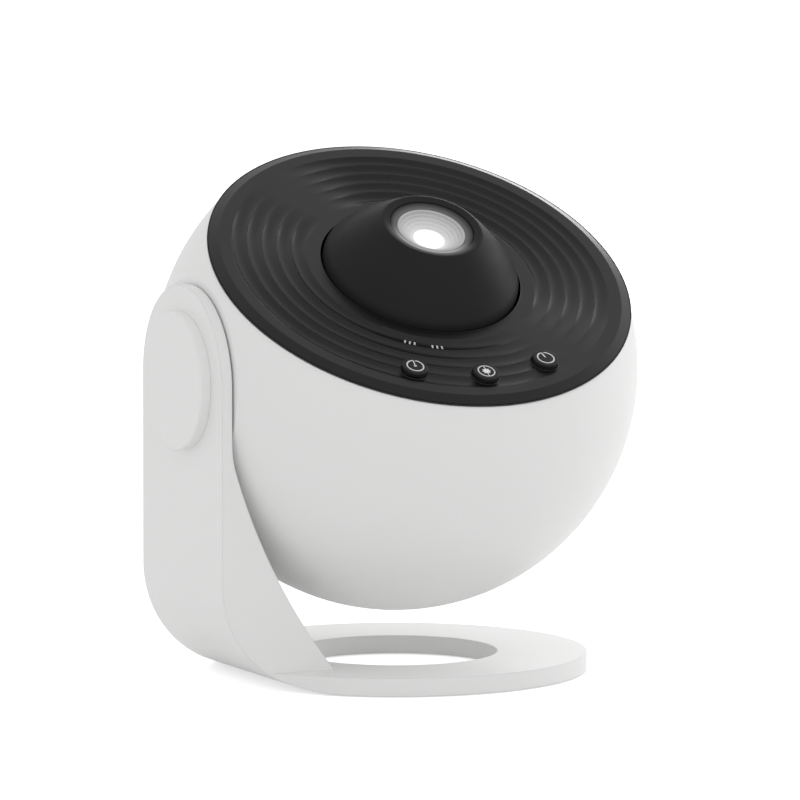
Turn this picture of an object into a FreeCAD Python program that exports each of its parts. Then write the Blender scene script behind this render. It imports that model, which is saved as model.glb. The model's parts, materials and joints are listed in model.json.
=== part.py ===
import FreeCAD, Part
import Sketcher
import math
import os
import sys

# Disc planetarium projector: a ball on a one-sided arm, with its optics inside.
# World frame: origin on the table under the ball centre, +X along the pivot axis
# away from the arm, -Y to the front, +Z up. Lengths in millimetres, angles in degrees.

doc = FreeCAD.newDocument("planetarium")
sheet = doc.addObject("Spreadsheet::Sheet", "Sizes")

SIZES = [
    ("ball_radius", 70.0, "outer radius of the ball"),
    ("ball_wall", 2.4, "wall of the ball"),
    ("mouth_height", 32.4, "cut of the ball above its centre, along the lens axis"),
    ("mouth_land", 2.9, "width of the rim around the mouth"),
    ("lip_height", 2.0, "depth of the inner lip of the mouth"),
    ("tilt_angle", 30.0, "lean of the lens axis to the front"),
    ("under_gap", 12.4, "space between the ball and the ring base"),
    ("facet_depth", 6.5, "depth of the flat on the pivot side of the ball"),
    ("facet_wall", 4.0, "wall behind that flat"),
    ("pivot_gap", 0.6, "space between the flat and the arm"),
    ("arm_wall", 3.2, "thickness of the arm at the pivot"),
    ("arm_width", 54.8, "width of the arm, front to back"),
    ("arm_bend", 31.7, "outer radius of the bend into the base"),
    ("arm_straight", 15.5, "straight inner face below the pivot"),
    ("neck_bend", 30.0, "first inner bend of the arm"),
    ("neck_angle", 18.0, "turn of the first inner bend"),
    ("web_bend", 180.0, "long inner curve of the arm"),
    ("web_land", 2.6, "foot of the inner curve outside the hole of the ring"),
    ("ball_clear", 1.4, "clearance of the arm around the ball"),
    ("ring_radius", 55.4, "outer radius of the ring base"),
    ("ring_hole", 29.5, "radius of the hole in the ring base"),
    ("ring_height", 5.6, "top of the ring base above the table"),
    ("ring_skin", 1.6, "top wall of the ring base"),
    ("ring_flare", 10.0, "flare between the ring and the arm"),
    ("channel_land", 3.0, "walls beside the channel under the ring"),
    ("foot_proud", 0.4, "rubber foot below the ring base"),
    ("foot_height", 1.7, "thickness of the rubber foot"),
    ("loose_gap", 0.3, "clearance of laid-in pieces"),
    ("hub_radius", 8.9, "radius of the pivot hub"),
    ("run_gap", 0.1, "radial clearance of turning fits"),
    ("hub_flange", 17.0, "radius of the hub flange inside the ball"),
    ("flange_height", 2.5, "thickness of the hub flange"),
    ("hub_screw_circle", 12.8, "radius of the hub screw circle"),
    ("friction_radius", 24.0, "outer radius of the friction washer"),
    ("retainer_radius", 14.5, "radius of the retaining plate"),
    ("retainer_height", 1.0, "thickness of the retaining plate"),
    ("spring_height", 0.4, "thickness of the spring washer"),
    ("cap_radius", 19.9, "radius of the pivot cap"),
    ("cap_height", 3.1, "height of the pivot cap above the arm"),
    ("cap_wall", 1.2, "wall of the pivot cap"),
    ("cap_round", 0.5, "rounding of the cap edge"),
    ("shadow_gap", 0.3, "shadow line between the cover and the ball"),
    ("cover_rise", 1.8, "height of the cover above the shadow line"),
    ("cover_plate", 2.0, "thickness of the cover plate"),
    ("edge_width", 3.0, "width of the rounded edge of the cover"),
    ("edge_drop", 1.3, "drop of the rounded edge of the cover"),
    ("ripple_first", 24.45, "innermost ripple inside the mouth edge"),
    ("ripple_pitch", 4.4, "spacing of the ripples"),
    ("ripple_count", 5, "number of ripples in each family"),
    ("ripple_rise", 0.8, "height of a ripple at its middle"),
    ("ripple_round", 3.2, "section radius of a ripple"),
    ("ripple_turn", -55.0, "direction in which the ripples fade"),
    ("skirt_wall", 1.6, "wall of the cover skirt"),
    ("skirt_depth", 6.0, "depth of the cover skirt"),
    ("fit_gap", 0.25, "clearance of the skirt in the mouth"),
    ("hook_reach", 1.1, "reach of the snap hooks"),
    ("hook_angle", 12.0, "width of a snap hook around the skirt"),
    ("hook_count", 5, "number of snap hooks"),
    ("hood_radius", 28.6, "base radius of the focus hood"),
    ("hood_gap", 0.8, "dark gap around the focus hood"),
    ("well_wall", 1.6, "wall of the well under the hood"),
    ("well_depth", 12.1, "depth of the well"),
    ("film_radius", 25.0, "radius of the picture disc"),
    ("film_height", 0.8, "thickness of the picture disc"),
    ("film_play", 1.5, "room around the disc as it is dropped in"),
    ("hood_height", 16.0, "height of the hood above the cover"),
    ("rim_radius", 14.4, "outer radius of the hood rim"),
    ("mouth_radius_hood", 12.4, "inner radius of the hood rim"),
    ("rim_groove", 0.35, "width of the groove inside the hood rim"),
    ("throat_radius", 10.4, "radius of the hood throat"),
    ("hood_wall", 1.8, "wall of the hood"),
    ("shoulder_bend", 4.7, "curve of the hood shoulder"),
    ("flank_bend", 90.0, "curve of the hood flank"),
    ("sleeve_wall", 1.6, "wall of the cam sleeve"),
    ("sleeve_gap", 0.4, "clearance between the cam sleeve and the guide"),
    ("barrel_radius", 9.9, "outer radius of the lens barrel"),
    ("barrel_wall", 1.8, "wall of the lens barrel"),
    ("guide_wall", 1.6, "wall of the lens guide"),
    ("pin_radius", 1.2, "radius of the guide pins"),
    ("pin_height", 30.0, "height of the guide pins above the ball centre"),
    ("pin_play", 0.15, "clearance of the pins in their slots"),
    ("focus_travel", 1.4, "travel of the lens barrel each way"),
    ("focus_turn", 45.0, "turn of the hood each way"),
    ("button_radius", 3.85, "radius of the buttons"),
    ("button_gap", 0.15, "clearance around the buttons"),
    ("button_proud", 1.5, "buttons above the cover"),
    ("button_inset", 12.05, "button circle inside the mouth edge"),
    ("button_spread", 24.3, "angle between the buttons"),
    ("button_travel", 0.8, "travel of the buttons"),
    ("deck_height", 11.0, "top of the deck above the ball centre"),
    ("deck_plate", 2.0, "thickness of the deck"),
    ("deck_play", 6.0, "room between the deck and the mouth lip"),
    ("post_radius", 3.2, "radius of the posts under the cover"),
    ("post_inset", 12.6, "post circle inside the mouth edge"),
    ("screw_radius", 1.2, "radius of the screw shanks"),
    ("screw_head", 2.4, "radius of the screw heads"),
    ("head_height", 1.8, "height of the screw heads"),
    ("screw_play", 0.1, "clearance of the screws in the posts"),
    ("board_drop", 10.5, "top of the control board below the cover top"),
    ("board_plate", 1.6, "thickness of the control board"),
    ("board_play", 1.6, "room around the control board"),
    ("board_spread", 42.0, "half angle of the control board"),
    ("board_post_spread", 35.0, "angle of the board posts"),
    ("switch_side", 6.0, "side of the switches"),
    ("switch_height", 3.0, "height of the switches"),
    ("plunger_height", 0.6, "height of the switch plungers"),
    ("gear_module", 1.0, "size of the gear teeth"),
    ("carrier_teeth", 60, "teeth of the disc carrier"),
    ("pinion_teeth", 14, "teeth of the pinion"),
    ("gear_play", 0.25, "extra distance between the gear centres"),
    ("carrier_height", 4.0, "height of the disc carrier"),
    ("carrier_lift", 0.2, "running height of the carrier above the deck"),
    ("collar_wall", 1.4, "wall of the carrier collar"),
    ("face_width", 3.0, "width of the gear teeth"),
    ("shaft_radius", 1.0, "radius of the motor shaft"),
    ("motor_radius", 10.0, "radius of the motor"),
    ("motor_height", 14.0, "height of the motor"),
    ("tube_radius", 23.0, "outer radius of the lamp tube"),
    ("tube_wall", 2.0, "wall of the lamp tube"),
    ("tube_length", 26.5, "length of the lamp tube"),
    ("ear_radius", 4.0, "half width of the ears of the lamp tube"),
    ("ear_circle", 31.0, "radius of the ear circle"),
    ("condenser_seat", 9.0, "condenser seat below the deck underside"),
    ("condenser_edge", 2.5, "edge thickness of the condenser"),
    ("condenser_crown", 8.0, "middle thickness of the condenser"),
    ("sink_plate", 2.5, "base of the heat sink"),
    ("fin_height", 16.0, "height of the fins"),
    ("fin_wall", 1.4, "thickness of the fins"),
    ("fin_pitch", 5.0, "spacing of the fins"),
    ("lamp_board_radius", 16.0, "radius of the lamp board"),
    ("lamp_board_plate", 1.4, "thickness of the lamp board"),
    ("lamp_side", 7.0, "side of the lamp"),
    ("lamp_height", 1.5, "height of the lamp"),
    ("jack_drop", 25.0, "power jack below the ball centre"),
    ("jack_radius", 5.1, "radius of the power jack"),
    ("jack_bore", 2.9, "bore of the power jack"),
    ("jack_depth", 10.0, "depth of the power jack"),
    ("jack_sink", 1.2, "power jack below the ball surface"),
    ("boss_radius", 8.0, "radius of the boss around the power jack"),
]

for row, (alias, value, note) in enumerate(SIZES, 1):
    sheet.set("A%d" % row, note)
    sheet.set("B%d" % row, str(value))
    sheet.setAlias("B%d" % row, alias)
doc.recompute()


class Size:
    """A length, angle or count: its formula for the document and its present value."""

    def __init__(self, formula, value):
        self.formula = formula
        self.value = float(value)

    def __add__(self, other):
        other = size(other)
        return Size("(%s + %s)" % (self.formula, other.formula), self.value + other.value)

    def __sub__(self, other):
        other = size(other)
        return Size("(%s - %s)" % (self.formula, other.formula), self.value - other.value)

    def __mul__(self, other):
        other = size(other)
        return Size("(%s * %s)" % (self.formula, other.formula), self.value * other.value)

    def __truediv__(self, other):
        other = size(other)
        return Size("(%s / %s)" % (self.formula, other.formula), self.value / other.value)

    def __neg__(self):
        return Size("(0 - %s)" % self.formula, -self.value)

    def __radd__(self, other):
        return size(other) + self

    def __rsub__(self, other):
        return size(other) - self

    def __rmul__(self, other):
        return size(other) * self


def size(number):
    if isinstance(number, Size):
        return number
    if number < 0:
        return Size("(0 - %s)" % repr(abs(float(number))), number)
    return Size(repr(float(number)), number)


def root(number):
    return Size("sqrt(%s)" % number.formula, math.sqrt(number.value))


def sine(angle):
    angle = size(angle)
    return Size("sin(%s)" % angle.formula, math.sin(math.radians(angle.value)))


def cosine(angle):
    angle = size(angle)
    return Size("cos(%s)" % angle.formula, math.cos(math.radians(angle.value)))


def leg(long_side, short_side):
    """The other short side of a right triangle."""
    return root(long_side * long_side - short_side * short_side)


S = {alias: Size("Sizes." + alias, value) for alias, value, note in SIZES}

# Lengths that follow from the sizes above

pivot_height = S["ball_radius"] + S["under_gap"] + S["ring_height"]
mouth_radius = leg(S["ball_radius"], S["mouth_height"])
inner_radius = S["ball_radius"] - S["ball_wall"]
lip_radius = mouth_radius - S["mouth_land"]
lip_bottom = S["mouth_height"] - S["lip_height"]
facet_x = S["ball_radius"] - S["facet_depth"]
facet_inner_x = facet_x - S["facet_wall"]
arm_inner_x = facet_x + S["pivot_gap"]
arm_outer_x = arm_inner_x + S["arm_wall"]
arm_half = S["arm_width"] / 2
frame_bottom = S["foot_proud"] - pivot_height
ring_top = S["ring_height"] - pivot_height
edge_bottom = S["mouth_height"] + S["shadow_gap"]
cover_top = edge_bottom + S["cover_rise"]
cover_under = cover_top - S["cover_plate"]
cover_radius = mouth_radius + S["fit_gap"]
skirt_outer = lip_radius - S["fit_gap"]
skirt_inner = skirt_outer - S["skirt_wall"]
skirt_bottom = cover_under - S["skirt_depth"]
well_radius = S["hood_radius"] + S["hood_gap"]
well_outer = well_radius + S["well_wall"]
floor_bottom = cover_top - S["well_depth"]
floor_top = floor_bottom + S["well_wall"]
disc_door = S["film_radius"] + S["film_play"]
deck_top = S["deck_height"]
deck_bottom = deck_top - S["deck_plate"]
deck_radius = lip_radius - S["deck_play"]
post_circle = mouth_radius - S["post_inset"]
button_circle = mouth_radius - S["button_inset"]
board_top = cover_top - S["board_drop"]
board_bottom = board_top - S["board_plate"]
board_inner = well_outer + S["board_play"]
board_outer = skirt_inner - S["board_play"]
carrier_bottom = deck_top + S["carrier_lift"]
carrier_top = carrier_bottom + S["carrier_height"]
carrier_pitch = S["gear_module"] * S["carrier_teeth"] / 2
carrier_root = carrier_pitch - 1.1 * S["gear_module"]
carrier_tip = carrier_pitch + 0.8 * S["gear_module"]
pinion_pitch = S["gear_module"] * S["pinion_teeth"] / 2
pinion_root = pinion_pitch - 1.1 * S["gear_module"]
pinion_tip = pinion_pitch + 0.8 * S["gear_module"]
gear_distance = carrier_pitch + pinion_pitch + S["gear_play"]
collar_outer = carrier_root - 1.5
collar_inner = collar_outer - S["collar_wall"]
film_seat = S["film_radius"] + 0.2
film_bottom = carrier_bottom + 2.2
film_top = film_bottom + S["film_height"]
tube_bore = S["tube_radius"] - S["tube_wall"]
tube_bottom = deck_bottom - S["tube_length"]
sleeve_inner = S["barrel_radius"] + S["run_gap"] + S["guide_wall"] + S["sleeve_gap"]
sleeve_outer = sleeve_inner + S["sleeve_wall"]
guide_bore = S["barrel_radius"] + S["run_gap"]
guide_outer = guide_bore + S["guide_wall"]
hood_bottom = floor_top + 2.0
hood_top = cover_top + S["hood_height"]
slot_half = S["pin_radius"] + S["pin_play"]


def point_at(circle, bearing):
    """Place on a circle about the lens axis; bearing 0 is the front, 90 the right."""
    return circle * sine(bearing), -(circle * cosine(bearing))


def origin_plane(body, role):
    for feature in body.Origin.OriginFeatures:
        if feature.Role == role:
            return feature
    raise ValueError(role)


def bind(sketch, kind, where, length):
    number = sketch.addConstraint(Sketcher.Constraint(kind, *where, length.value))
    sketch.setExpression("Constraints[%d]" % number, length.formula)


def new_sketch(body, name, role, offset=None, turn=None):
    """A sketch on one of the body's own planes, shifted along its normal by offset."""
    sketch = body.newObject("Sketcher::SketchObject", name)
    sketch.AttachmentSupport = [(origin_plane(body, role), "")]
    sketch.MapMode = "FlatFace"
    shift = FreeCAD.Vector(0, 0, offset.value if offset is not None else 0)
    spin = FreeCAD.Rotation(FreeCAD.Vector(0, 1, 0), turn.value if turn is not None else 0)
    sketch.AttachmentOffset = FreeCAD.Placement(shift, spin)
    if offset is not None:
        sketch.setExpression("AttachmentOffset.Base.z", offset.formula)
    if turn is not None:
        sketch.setExpression("AttachmentOffset.Rotation.Angle", turn.formula)
    return sketch


def arc_centre(start, end, radius, side):
    middle = (start + end) * 0.5
    chord = end - start
    rest = math.sqrt(max(radius * radius - chord.Length ** 2 / 4, 0.0))
    across = FreeCAD.Vector(-chord.y, chord.x, 0).normalize()
    return middle + across * rest * side


def add_loop(sketch, corners):
    """Closed outline. A corner is (x, y), or (x, y, radius, side) when an arc leads
    to it: side 1 has the arc's centre on the left of the way, side -1 on the right."""
    spots = [FreeCAD.Vector(size(c[0]).value, size(c[1]).value, 0) for c in corners]
    edges = []
    for i, corner in enumerate(corners):
        start, end = spots[i - 1], spots[i]
        if len(corner) == 2:
            number = sketch.addGeometry(Part.LineSegment(start, end), False)
            edges.append((number, 1, 2))
            continue
        radius, side = size(corner[2]), corner[3]
        centre = arc_centre(start, end, radius.value, side)
        out = ((start + end) * 0.5 - centre).normalize()
        number = sketch.addGeometry(Part.Arc(start, centre + out * radius.value, end), False)
        edges.append((number, 1, 2) if side > 0 else (number, 2, 1))
    for i, corner in enumerate(corners):
        number, first, last = edges[i]
        following = edges[(i + 1) % len(edges)]
        sketch.addConstraint(
            Sketcher.Constraint("Coincident", number, last, following[0], following[1])
        )
        bind(sketch, "DistanceX", (number, last), size(corner[0]))
        bind(sketch, "DistanceY", (number, last), size(corner[1]))
        if len(corner) > 2:
            bind(sketch, "Radius", (number,), size(corner[2]))


def add_circle(sketch, x, y, radius):
    x, y, radius = size(x), size(y), size(radius)
    circle = Part.Circle(
        FreeCAD.Vector(x.value, y.value, 0), FreeCAD.Vector(0, 0, 1), radius.value
    )
    number = sketch.addGeometry(circle, False)
    bind(sketch, "Radius", (number,), radius)
    bind(sketch, "DistanceX", (number, 3), x)
    bind(sketch, "DistanceY", (number, 3), y)


def box_loop(x, y, half_x, half_y):
    """A rectangle about a point."""
    return [
        (x - half_x, y - half_y),
        (x + half_x, y - half_y),
        (x + half_x, y + half_y),
        (x - half_x, y + half_y),
    ]


def new_body(name):
    return doc.addObject("PartDesign::Body", name)


def revolve(body, name, corners, axis="V_Axis", turn=None, cut=False):
    """A turned form: outline on the XZ plane, about its vertical or horizontal axis."""
    sketch = new_sketch(body, name + "_outline", "XZ_Plane")
    add_loop(sketch, corners)
    kind = "PartDesign::Groove" if cut else "PartDesign::Revolution"
    feature = body.newObject(kind, name)
    feature.Profile = sketch
    feature.ReferenceAxis = (sketch, [axis])
    feature.Angle = 360.0 if turn is None else turn.value
    if turn is not None:
        feature.setExpression("Angle", turn.formula)
        feature.Midplane = True
    body.Tip = feature
    doc.recompute()
    return feature


def pad(body, name, height, level, loops=(), circles=(), down=False, role="XY_Plane"):
    """A raised form on a plane at the given level."""
    sketch = new_sketch(body, name + "_outline", role, size(level))
    for loop in loops:
        add_loop(sketch, loop)
    for circle in circles:
        add_circle(sketch, *circle)
    feature = body.newObject("PartDesign::Pad", name)
    feature.Profile = sketch
    feature.Length = size(height).value
    feature.setExpression("Length", size(height).formula)
    feature.Reversed = down
    body.Tip = feature
    doc.recompute()
    return feature


def pocket(body, name, depth, level, loops=(), circles=(), up=False, role="XY_Plane"):
    """A cut from a plane at the given level; with no depth it goes through both ways."""
    before = body.Shape.Volume
    sketch = new_sketch(body, name + "_outline", role, size(level))
    for loop in loops:
        add_loop(sketch, loop)
    for circle in circles:
        add_circle(sketch, *circle)
    feature = body.newObject("PartDesign::Pocket", name)
    feature.Profile = sketch
    if depth is None:
        feature.SideType = "Symmetric"
        feature.Type = "ThroughAll"
    else:
        feature.Length = size(depth).value
        feature.setExpression("Length", size(depth).formula)
        feature.Reversed = up
    body.Tip = feature
    doc.recompute()
    if body.Shape.Volume > before - 0.01:
        raise ValueError(name + " cuts nothing")
    return feature


def around(body, name, feature, count):
    """Repeats a feature about the lens axis."""
    pattern = body.newObject("PartDesign::PolarPattern", name)
    pattern.Originals = [feature]
    pattern.Axis = (origin_plane(body, "Z_Axis"), [""])
    pattern.Angle = 360
    pattern.Occurrences = int(size(count).value)
    if isinstance(count, Size):
        pattern.setExpression("Occurrences", count.formula)
    body.Tip = pattern
    doc.recompute()
    return pattern


def place(piece, x=0, y=0, z=0, angle=0):
    """Sets a piece at a point, turned about the pivot axis."""
    x, y, z, angle = size(x), size(y), size(z), size(angle)
    piece.Placement = FreeCAD.Placement(
        FreeCAD.Vector(x.value, y.value, z.value),
        FreeCAD.Rotation(FreeCAD.Vector(1, 0, 0), angle.value),
    )
    piece.setExpression("Placement.Base.x", x.formula)
    piece.setExpression("Placement.Base.y", y.formula)
    piece.setExpression("Placement.Base.z", z.formula)
    if abs(angle.value) > 0:
        piece.setExpression("Placement.Rotation.Angle", angle.formula)


NODES = []


def keep(piece, name):
    piece.Label = name
    NODES.append((name, piece))


def in_head(piece, name, x=0, y=0):
    """Seats a piece in the leaning ball, at a point of the ball's own plan."""
    x, y = size(x), size(y)
    tilt = S["tilt_angle"]
    place(piece, x, y * cosine(tilt), pivot_height + y * sine(tilt), tilt)
    keep(piece, name)


def at_pivot(piece, name):
    """Seats a piece of the stand, drawn about the ball centre."""
    place(piece, 0, 0, pivot_height)
    keep(piece, name)


def solid_box(name, corner, lengths):
    box = doc.addObject("Part::Box", name)
    for key, value in zip("xyz", corner):
        box.setExpression("Placement.Base." + key, size(value).formula)
    for key, value in zip(("Length", "Width", "Height"), lengths):
        box.setExpression(key, size(value).formula)
    return box


def solid_round(name, radius, height, base, axis=None):
    """A cylinder from a base point, upright or along an axis."""
    rod = doc.addObject("Part::Cylinder", name)
    rod.Radius = size(radius).value
    rod.Height = size(height).value
    rod.setExpression("Radius", size(radius).formula)
    rod.setExpression("Height", size(height).formula)
    if axis is not None:
        spin = FreeCAD.Rotation(FreeCAD.Vector(0, 0, 1), FreeCAD.Vector(*axis))
        rod.Placement = FreeCAD.Placement(FreeCAD.Vector(0, 0, 0), spin)
    for key, value in zip("xyz", base):
        rod.setExpression("Placement.Base." + key, size(value).formula)
    return rod


def solid_ball(name, radius):
    ball = doc.addObject("Part::Sphere", name)
    ball.setExpression("Radius", radius.formula)
    return ball


def combine(kind, name, first, second):
    result = doc.addObject("Part::" + kind, name)
    result.Base = first
    result.Tool = second
    return result


def join(name, pieces):
    result = doc.addObject("Part::MultiFuse", name)
    result.Shapes = pieces
    return result


# Stand: arm and ring base, one moulding, drawn about the ball centre

stand = new_body("stand_frame")
reach = S["ball_radius"] * 1.2
web_x = arm_inner_x - S["neck_bend"] * (1 - cosine(S["neck_angle"]))
web_z = S["arm_straight"] + S["neck_bend"] * sine(S["neck_angle"])
bend_x = arm_outer_x - S["arm_bend"]
side_sketch = new_sketch(stand, "stand_side_outline", "XZ_Plane")
add_loop(
    side_sketch,
    [
        (-arm_outer_x, arm_half + 2),
        (-arm_outer_x, frame_bottom + S["arm_bend"]),
        (-bend_x, frame_bottom, S["arm_bend"], 1),
        (S["ring_radius"] + 2, frame_bottom),
        (S["ring_radius"] + 2, ring_top),
        (-(S["ring_hole"] + S["web_land"]), ring_top),
        (-web_x, -web_z, S["web_bend"], -1),
        (-arm_inner_x, -S["arm_straight"], S["neck_bend"], -1),
        (-arm_inner_x, arm_half + 2),
    ],
)
side_pad = stand.newObject("PartDesign::Pad", "stand_side")
side_pad.Profile = side_sketch
side_pad.SideType = "Symmetric"
side_pad.setExpression("Length", (2 * reach).formula)
stand.Tip = side_pad
doc.recompute()

pocket(
    stand,
    "stand_head_cut",
    None,
    0,
    role="YZ_Plane",
    loops=[
        [
            (-reach, ring_top),
            (-arm_half, ring_top),
            (-arm_half, 0),
            (0, arm_half, arm_half, -1),
            (arm_half, 0, arm_half, -1),
            (arm_half, ring_top),
            (reach, ring_top),
            (reach, reach),
            (-reach, reach),
        ]
    ],
)
flare_x = leg(S["ring_radius"] + S["ring_flare"], arm_half + S["ring_flare"])
flare_share = S["ring_radius"] / (S["ring_radius"] + S["ring_flare"])
flare_y = (arm_half + S["ring_flare"]) * flare_share
pocket(
    stand,
    "stand_plan_cut",
    None,
    0,
    loops=[
        [
            (-(arm_outer_x + 10), -arm_half),
            (-flare_x, -arm_half),
            (-(flare_x * flare_share), -flare_y, S["ring_flare"], -1),
            (S["ring_radius"], 0, S["ring_radius"], 1),
            (-(flare_x * flare_share), flare_y, S["ring_radius"], 1),
            (-flare_x, arm_half, S["ring_flare"], -1),
            (-(arm_outer_x + 10), arm_half),
            (-(arm_outer_x + 10), reach),
            (reach, reach),
            (reach, -reach),
            (-(arm_outer_x + 10), -reach),
        ]
    ],
)
pocket(stand, "ring_hole_cut", None, 0, circles=[(0, 0, S["ring_hole"])])
clear_radius = S["ball_radius"] + S["ball_clear"]
revolve(
    stand,
    "ball_clearance",
    [
        (-arm_inner_x, 0),
        (-arm_inner_x, leg(clear_radius, arm_inner_x)),
        (0, clear_radius, clear_radius, -1),
        (clear_radius, 0, clear_radius, -1),
    ],
    axis="H_Axis",
    cut=True,
)
pocket(
    stand,
    "hub_bore",
    None,
    0,
    role="YZ_Plane",
    circles=[(0, 0, S["hub_radius"] + S["run_gap"])],
)


def ring_loop(inner, outer, end):
    """A ring cut off square towards the arm; end is inside the inner radius."""
    return [
        (-end, -leg(outer, end)),
        (outer, 0, outer, 1),
        (-end, leg(outer, end), outer, 1),
        (-end, leg(inner, end)),
        (inner, 0, inner, -1),
        (-end, -leg(inner, end), inner, -1),
    ]


channel_inner = S["ring_hole"] + S["channel_land"]
channel_outer = S["ring_radius"] - S["channel_land"]
channel_end = S["ring_hole"] + 2
pocket(
    stand,
    "channel_cut",
    S["ring_height"] - S["ring_skin"] - S["foot_proud"],
    frame_bottom,
    loops=[ring_loop(channel_inner, channel_outer, channel_end)],
    up=True,
)
at_pivot(stand, "stand_frame")

weight = new_body("base_weight")
pad(
    weight,
    "weight_plate",
    S["ring_height"] - S["ring_skin"] - S["foot_height"],
    S["foot_height"],
    loops=[
        ring_loop(
            channel_inner + S["loose_gap"],
            channel_outer - S["loose_gap"],
            channel_end - S["loose_gap"],
        )
    ],
)
keep(weight, "base_weight")

foot = new_body("base_foot")
pad(
    foot,
    "foot_ring",
    S["foot_height"],
    0,
    loops=[
        ring_loop(
            channel_inner + S["loose_gap"],
            channel_outer - S["loose_gap"],
            channel_end - S["loose_gap"],
        )
    ],
)
keep(foot, "base_foot")

# Pivot: cap, washers, retaining plate, screw and hub, turned about the pivot axis

cap_x = arm_outer_x + S["cap_height"]
cap = new_body("pivot_cap")
revolve(
    cap,
    "cap_form",
    [
        (-cap_x, 0),
        (-cap_x, S["cap_radius"] - S["cap_round"]),
        (-(cap_x - S["cap_round"]), S["cap_radius"], S["cap_round"], -1),
        (-arm_outer_x, S["cap_radius"]),
        (-arm_outer_x, S["cap_radius"] - S["cap_wall"]),
        (-(cap_x - S["cap_wall"]), S["cap_radius"] - S["cap_wall"]),
        (-(cap_x - S["cap_wall"]), 0),
    ],
    axis="H_Axis",
)
at_pivot(cap, "pivot_cap")

spring_washer = new_body("spring_washer")
revolve(
    spring_washer,
    "spring_washer_form",
    [
        (-arm_outer_x, S["hub_radius"] + 0.5),
        (-arm_outer_x, S["retainer_radius"] - 1),
        (-(arm_outer_x + S["spring_height"]), S["retainer_radius"] - 1),
        (-(arm_outer_x + S["spring_height"]), S["hub_radius"] + 0.5),
    ],
    axis="H_Axis",
)
at_pivot(spring_washer, "spring_washer")

hub_end = arm_outer_x + S["spring_height"] + 0.05
retainer_end = hub_end + S["retainer_height"]
retainer = new_body("retaining_plate")
revolve(
    retainer,
    "retainer_form",
    [
        (-hub_end, 1.8),
        (-hub_end, S["retainer_radius"]),
        (-retainer_end, S["retainer_radius"]),
        (-retainer_end, 2.8),
    ],
    axis="H_Axis",
)
in_head(retainer, "retaining_plate")

pivot_screw = new_body("pivot_screw")
revolve(
    pivot_screw,
    "pivot_screw_form",
    [
        (-retainer_end, 0),
        (-retainer_end, 2.75),
        (-hub_end, 1.7),
        (-(hub_end - 8), 1.7),
        (-(hub_end - 9), 0),
    ],
    axis="H_Axis",
)
in_head(pivot_screw, "pivot_screw")

hub = new_body("pivot_hub")
flange_x = facet_inner_x - S["flange_height"]
revolve(
    hub,
    "hub_form",
    [
        (-hub_end, 1.75),
        (-hub_end, S["hub_radius"]),
        (-facet_inner_x, S["hub_radius"]),
        (-facet_inner_x, S["hub_flange"]),
        (-flange_x, S["hub_flange"]),
        (-flange_x, 4.0),
        (-(hub_end - 10), 4.0),
        (-(hub_end - 10), 1.75),
    ],
    axis="H_Axis",
)
hub_spots = []
for number in range(3):
    angle = 90 + 120 * number
    hub_spots.append(
        (
            S["hub_screw_circle"] * cosine(angle),
            S["hub_screw_circle"] * sine(angle),
        )
    )
pocket(
    hub,
    "hub_screw_holes",
    S["flange_height"] + 1,
    -(facet_inner_x + 0.5),
    role="YZ_Plane",
    circles=[(y, z, S["screw_radius"] + S["screw_play"]) for y, z in hub_spots],
    up=True,
)
in_head(hub, "pivot_hub")

hub_screws = new_body("hub_screws")
pad(
    hub_screws,
    "hub_screw_heads",
    S["head_height"],
    -flange_x,
    role="YZ_Plane",
    circles=[(y, z, S["screw_head"]) for y, z in hub_spots],
)
pad(
    hub_screws,
    "hub_screw_shanks",
    S["flange_height"] + 3,
    -flange_x,
    role="YZ_Plane",
    circles=[(y, z, S["screw_radius"]) for y, z in hub_spots],
    down=True,
)
in_head(hub_screws, "hub_screws")

friction_washer = new_body("friction_washer")
revolve(
    friction_washer,
    "friction_washer_form",
    [
        (-facet_x, S["hub_radius"] + 0.5),
        (-(facet_x + S["pivot_gap"] - 0.05), S["hub_radius"] + 0.5),
        (-(facet_x + S["pivot_gap"] - 0.05), S["friction_radius"]),
        (-facet_x, S["friction_radius"]),
    ],
    axis="H_Axis",
)
in_head(friction_washer, "friction_washer")

# Ball: a hollow sphere with a mouth, an inner lip, a flat on the pivot side and a jack boss

high = S["ball_radius"] * 2
outer_box = solid_box(
    "ball_outer_limit",
    (-facet_x, -high, -high),
    (facet_x + high, 2 * high, high + S["mouth_height"]),
)
inner_box = solid_box(
    "ball_inner_limit",
    (-facet_inner_x, -high, -high),
    (facet_inner_x + high, 2 * high, high + lip_bottom),
)
ball_outer = combine("Common", "ball_outer", solid_ball("outer_sphere", S["ball_radius"]), outer_box)
ball_inner = combine("Common", "ball_inner", solid_ball("inner_sphere", inner_radius), inner_box)
jack_face = leg(S["ball_radius"], S["jack_drop"]) - S["jack_sink"]
boss_back = leg(inner_radius, S["jack_drop"]) - 6
boss = combine(
    "Common",
    "jack_boss",
    solid_ball("boss_sphere", S["ball_radius"] - 1),
    solid_round(
        "jack_boss_rod", S["boss_radius"], high, (0, boss_back, -S["jack_drop"]), (0, 1, 0)
    ),
)
ball_wall = join("ball_wall", [combine("Cut", "ball_hollow", ball_outer, ball_inner), boss])
ball_cuts = [
    solid_round("mouth_bore", lip_radius, 10, (0, 0, lip_bottom - 1)),
    solid_round(
        "hub_passage",
        S["hub_radius"] + S["run_gap"],
        S["facet_wall"] + 4,
        (-(facet_x + 2), 0, 0),
        (1, 0, 0),
    ),
    solid_round(
        "jack_passage",
        S["jack_radius"] + S["run_gap"],
        high,
        (0, boss_back - 2, -S["jack_drop"]),
        (0, 1, 0),
    ),
]
for number, (y, z) in enumerate(hub_spots):
    ball_cuts.append(
        solid_round(
            "hub_screw_seat_%d" % number,
            S["screw_radius"] + S["screw_play"],
            4.2,
            (-(facet_inner_x + 3.2), y, z),
            (1, 0, 0),
        )
    )
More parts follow.
